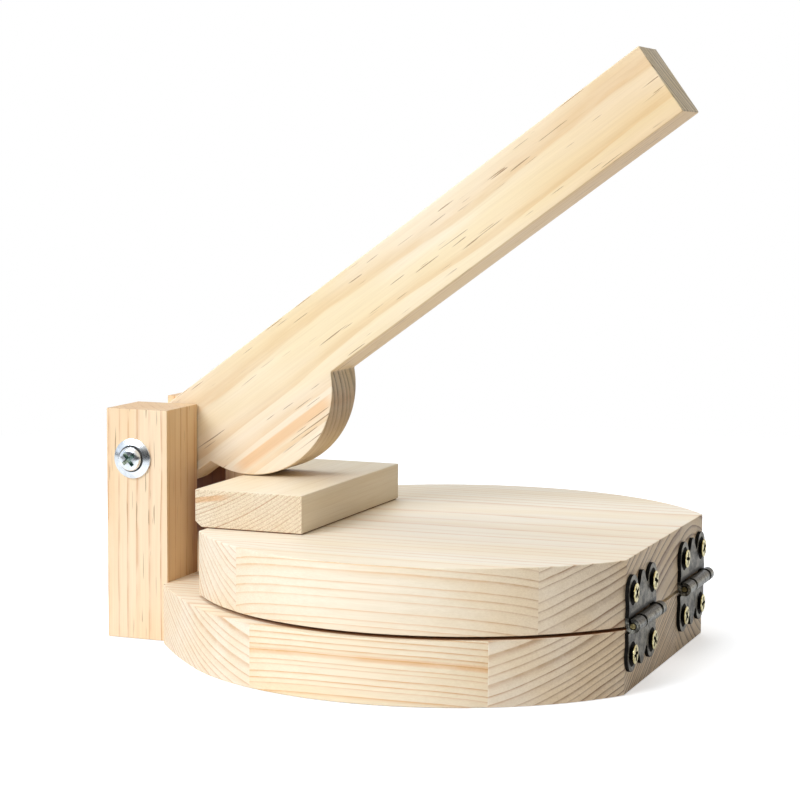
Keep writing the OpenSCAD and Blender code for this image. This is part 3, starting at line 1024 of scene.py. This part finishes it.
def pivot_nut():
    """A hexagon nut, chamfered by cutting it to a turned shape."""
    bore_r = BOLT_R + FIT
    low, high = WASHER_DISC_H, WASHER_DISC_H + NUT_H
    corner_r = NUT_HALF_FLAT / math.cos(math.radians(30))
    hexagon = arc((0, 0), corner_r, 0, 300, 5)
    nut = mesh_object("pivot_nut_hex", prism(hexagon, low, high, rear_point), zinc)
    turned = lathe([
        (0, low - 0.1), (4.1, low - 0.1), (4.1, low), (4.75, low + 0.36), (4.75, high - 0.36),
        (4.1, high), (4.1, high + 0.1), (0, high + 0.1),
    ], 96, rear_point)
    boolean(nut, mesh_object("turned", turned, zinc), "INTERSECT")
    bore = lathe([
        (0, low - 0.5), (bore_r, low - 0.5), (bore_r, high - 0.3), (bore_r + 0.35, high + 0.1),
        (0, high + 0.1),
    ], 64, rear_point)
    cut(nut, bore, zinc)
    put(smooth(nut, 30), "base", "bolt_zinc", "pivot_nut")


front_washer()
pivot_bolt()
rear_washer()
pivot_nut()


# The screws.
def screw(place, profile, face, cross, turn, material, name, shade_below=None):
    """A screw with a cross in its head. The cross, and the screw below a given height, are painted
    black as shade.
    """
    obj = mesh_object(name, lathe(profile, 48, place), material)
    if shade_below is not None:
        origin = Vector(place(0, 0, 0))
        axis = Vector(place(0, 0, 1)) - origin
        paint(obj, shadow_metal, lambda at, _: (at - origin).dot(axis) < shade_below)
    cut_cross(obj, place, face, *cross, turn, shadow_metal)
    return smooth(obj, 32)


def post_screws(key, side, turns):
    """Two countersunk screws through a post into the lower board."""
    profile = [(0, -POST_SCREW_L), (0.4, -POST_SCREW_L + 0.4), (POST_SCREW_R, -POST_SCREW_L + 5),
               (POST_SCREW_R, -1.85), (POST_SCREW_HEAD_R - 0.1, -0.15),
               (POST_SCREW_HEAD_R - 0.05, -0.03), (POST_SCREW_HEAD_R - 0.2, 0.0), (0, 0.0)]
    cross = (3.9, 1.0, 1.5)
    pair = [screw(place, profile, 0.0, cross, turn, dark_steel, "screw")
            for place, turn in zip(post_screw_places(side), turns)]
    put(join(pair, f"{key}_post_screw_pair"), "base", "dark_screw", f"{key}_post_screws")


post_screws("front", -1, (20, 62))
post_screws("rear", 1, (75, 8))

# The hinges. Along the pin is a, away from the pin is b, and c is off the flat. KNUCKLES holds
# the knuckles' ends from the pin's front end: the upper leaf's by 1 and the lower leaf's by -1.
KNUCKLES = {1: ((0.1, 7.7), (28.6, 32.2)), -1: ((9.6, 26.7),)}


def leaf_half():
    """Half of a leaf's edge, from the root round a screw lobe to the middle lobe's tip."""
    edge = [(-HALF_L, 2.4), (-HALF_L, 3.4), (-HALF_L + 0.3, 4.4), (-HALF_L + 0.42, 5.2),
            (-HALF_L + 0.38, 5.9)]
    edge += arc((-SCREW_Y, LOBE_B), LOBE_R, 212, 10, 40)
    edge += arc((-4.95, 10.95), 0.85, 200, 320, 6)
    edge += [(-3.7, 11.05), (-3.05, 11.7), (-2.6, 12.3)]
    edge += arc((0, 12.2), 2.5, 172, 90, 10)
    return edge


def curl(side):
    """The sheet rolled round the pin to an angle of rolled, drawn across it: (c, b) points."""
    rolled = 473
    points = arc((CURL_X, 0), KNUCKLE_R, 180, rolled, 44)
    points += arc((CURL_X, 0), PIN_R + 0.06, rolled, 180, 40)
    points += [(LEAF_T, 1.3), (LEAF_T, 2.7), (0.0, 2.7), (0.0, 1.3)]
    return [(c, b * side) for c, b in points]


def hinge_screw_place(key, side, end):
    """The places round one of a leaf's two screws, by their height c off the flat."""
    y = HINGE_YS[key] + end * SCREW_Y
    z = PIN_Z + side * SCREW_REACH
    return lambda a, b, c: (HINGE_FLAT_X + c, y + a, z + b)


def leaf(key, side):
    """A leaf with its knuckles: side is 1 for the upper leaf and -1 for the lower one."""
    start = HINGE_YS[key] - HALF_L
    half = leaf_half()
    outline = half + [(-a, b) for a, b in reversed(half[:-1])]

    def sheet_point(a, b, c):
        return (HINGE_FLAT_X + c, HINGE_YS[key] + a, PIN_Z + b * side)

    def curl_point(c, b, a):
        return (HINGE_FLAT_X + c, a, PIN_Z + b)

    name = f"{key}_hinge_{'upper' if side > 0 else 'lower'}_leaf"
    obj = mesh_object(name + "_sheet", prism(outline, 0.0, LEAF_T, sheet_point), bronze)
    # The sheet's edges are painted black, as shade.
    paint(obj, shadow_metal, lambda _, normal: abs(normal.x) < 0.5)
    for low, high in KNUCKLES[side]:
        rolled = prism(curl(side), start + low, start + high, curl_point)
        boolean(obj, mesh_object("curl", rolled, barrel_metal), "UNION")
    # The countersinks are lined black, as painted shade under the screw heads.
    sink = [(0, -0.5), (LEAF_SINK_FLOOR_R, -0.5), (LEAF_SINK_FLOOR_R, 0.25),
            (LEAF_SINK_R, LEAF_T), (LEAF_SINK_R, 2.0), (0, 2.0)]
    for end in (-1, 1):
        cut(obj, lathe(sink, 48, hinge_screw_place(key, side, end)), shadow_metal)
    round_edges(obj, LEAF_EDGE, segments=2, angle=40)
    return put(obj, "upper_board" if side > 0 else "base", "hinge_bronze", name)


def hinge_pin(key):
    """The pin, with a rounded cap at its rear end. Between its ends it is painted black, as the shade
    seen in the gaps between knuckles.
    """
    start = HINGE_YS[key] - HALF_L
    cap = HINGE_L + 0.05

    def place(a, b, c):
        return (PIN_X + a, start + c, PIN_Z + b)

    obj = mesh_object(f"{key}_hinge_pin_rod", lathe([
        (0, 0.1), (0.85, 0.1), (PIN_R, 0.4), (PIN_R, cap), (1.7, cap), (1.9, cap + 0.15),
        (1.9, cap + 0.4), (1.75, cap + 0.75), (1.4, cap + 1.0), (0.8, cap + 1.15),
        (0, cap + 1.2),
    ], 48, place), brass)
    paint(obj, barrel_metal, lambda at, _: at.y - start > cap + 0.05)
    paint(obj, shadow_metal, lambda at, _: 0.2 < at.y - start <= cap + 0.05)
    return put(smooth(obj, 40), "base", "hinge_pin_brass", f"{key}_hinge_pin")


def hinge_screws(key, side, turns):
    """The two screws of a leaf, their heads standing proud of it."""
    profile = [(0, -13), (0.4, -12.6), (1.45, -10), (1.45, 0.5), (2.75, 1.93), (2.95, 2.0),
               (SCREW_HEAD_R, 2.08), (SCREW_HEAD_R, 2.24), (2.92, 2.32), (2.7, 2.37),
               (2.2, SCREW_TOP), (0, SCREW_TOP)]
    rim = 1.98
    cross = (4.3, 1.05, 1.2)
    pair = [screw(hinge_screw_place(key, side, end), profile, SCREW_TOP, cross, turn,
                  yellow_zinc, "screw", shade_below=rim)
            for end, turn in zip((-1, 1), turns)]
    side_name = "upper" if side > 0 else "lower"
    obj = join(pair, f"{key}_hinge_{side_name}_screw_pair")
    body = "upper_board" if side > 0 else "base"
    return put(obj, body, "screw_yellow_zinc", f"{key}_hinge_{side_name}_screws")


for key, upper_turns, lower_turns in (("front", (35, 70), (10, 55)), ("rear", (80, 25), (50, 5))):
    leaf(key, 1)
    leaf(key, -1)
    hinge_pin(key)
    hinge_screws(key, 1, upper_turns)
    hinge_screws(key, -1, lower_turns)


# The studio. Metal reflects a white sweep above, behind and at the left, and a darker room.
ROOM = 0.1


def light_rays(n):
    """Whether a ray comes from the camera, also through glass, and whether from a gloss."""
    rays = n.add("ShaderNodeLightPath")
    seen = n.math("MAXIMUM", rays.outputs["Is Camera Ray"], rays.outputs["Is Transmission Ray"])
    return seen, rays.outputs["Is Glossy Ray"]


def glow(n, strength):
    return n.add("ShaderNodeEmission", {"Color": WHITE, "Strength": strength}).outputs[0]


def floor_material():
    """Pale and matt near the object, where it holds the shadow, and plain white far off."""
    n = new_material("floor_white")
    coords = n.add("ShaderNodeTexCoord").outputs["Object"]
    mottle = n.noise(coords, 9.0)
    colour = n.mix(mottle, srgb(240, 240, 240), srgb(244, 244, 244))
    seen, glossy = light_rays(n)
    far = n.vector("LENGTH", coords)
    y = n.split(coords)["Y"]
    lift = n.math("ADD", n.times(seen, 0.55), n.times(glossy, 0.2))
    near = n.add("ShaderNodeAddShader")
    n.put(near.inputs[0], n.add("ShaderNodeBsdfDiffuse", {"Color": colour}).outputs[0])
    n.put(near.inputs[1], glow(n, lift))
    shader = near.outputs[0]
    for shown, amount in (
        (glow(n, 1.0), n.times(seen, n.remap(far, 0.3, 0.62))),
        (glow(n, 1.0), n.times(glossy, n.remap(y, 0.1, 0.3))),
        (glow(n, ROOM), n.times(glossy, n.remap(y, -0.3, -0.5))),
    ):
        choose = n.add("ShaderNodeMixShader")
        n.put(choose.inputs[0], amount)
        n.put(choose.inputs[1], shader)
        n.put(choose.inputs[2], shown)
        shader = choose.outputs[0]
    n.add("ShaderNodeOutputMaterial", {"Surface": shader})
    return n.owner


def floor():
    bm = bmesh.new()
    bmesh.ops.create_grid(bm, x_segments=1, y_segments=1, size=6.0)
    obj = mesh_object("floor", bm, floor_material())
    obj.location.z = -0.2 * MM


def studio_world():
    """Soft light all round, cooler at the left and dimmer and warmer at the right."""
    n = Nodes(bpy.data.worlds.new("studio"))
    direction = n.split(n.add("ShaderNodeTexCoord").outputs["Generated"])
    seen, glossy = light_rays(n)
    sweep = n.math("MAXIMUM", n.remap(direction["Z"], 0.1, 0.42),
                   n.remap(direction["Y"], -0.1, 0.35))
    sweep = n.math("MAXIMUM", sweep, n.remap(direction["X"], -0.45, -0.7))
    ambient = n.remap(direction["X"], -0.5, 0.9, 0.35, 0.17)
    side = n.remap(direction["X"], -0.6, 0.6)
    colour = n.mix(seen, n.mix(side, srgb(238, 245, 255), srgb(255, 242, 224)), WHITE)
    reflected = n.math("SUBTRACT", n.remap(sweep, 0.0, 1.0, ROOM, 1.0), ambient)
    strength = n.math("ADD", ambient, n.times(glossy, reflected))
    strength = n.math("MAXIMUM", strength, seen)
    background = n.add("ShaderNodeBackground", {"Color": colour, "Strength": strength})
    n.add("ShaderNodeOutputWorld", {"Surface": background.outputs[0]})
    return n.owner


def softbox(name, place, target, side, power, colour):
    light = bpy.data.lights.new(name, "AREA")
    light.shape = "RECTANGLE"
    light.size = side
    light.size_y = side
    light.energy = power
    light.color = colour
    obj = bpy.data.objects.new(name, light)
    bpy.context.scene.collection.objects.link(obj)
    obj.location = place
    obj.rotation_euler = (Vector(target) - Vector(place)).to_track_quat("-Z", "Y").to_euler()


def camera():
    """The camera, at the photograph's angle."""
    azimuth = math.radians(20.57)
    elevation = math.radians(6.09)
    roll = math.radians(0.43)
    target = Vector((-6.69, 0.0, 81.75)) * MM
    distance = 742.6 * MM
    back = Vector((math.sin(azimuth) * math.cos(elevation),
                   -math.cos(azimuth) * math.cos(elevation), math.sin(elevation)))
    level = Vector((math.cos(azimuth), math.sin(azimuth), 0))
    rise = back.cross(level)
    right = level * math.cos(roll) + rise * math.sin(roll)
    up = rise * math.cos(roll) - level * math.sin(roll)
    data = bpy.data.cameras.new("camera")
    data.sensor_width = 36.0
    data.lens = 100.34
    data.shift_x = -0.0366
    obj = bpy.data.objects.new("camera", data)
    bpy.context.scene.collection.objects.link(obj)
    turn = Matrix((right, up, back)).transposed().to_4x4()
    obj.matrix_world = Matrix.Translation(target + back * distance) @ turn
    return obj


floor()
bpy.context.scene.world = studio_world()
softbox("key", (-0.78, -1.50, 1.2), (0, 0, 0.06), 1.1, 31, (0.94, 0.955, 1.0))
softbox("top", (-0.3, 0.3, 1.8), (0, 0, 0.03), 1.4, 16.5, (0.86, 0.93, 1.0))
bpy.context.scene.camera = camera()
bpy.context.scene.view_settings.view_transform = "Standard"
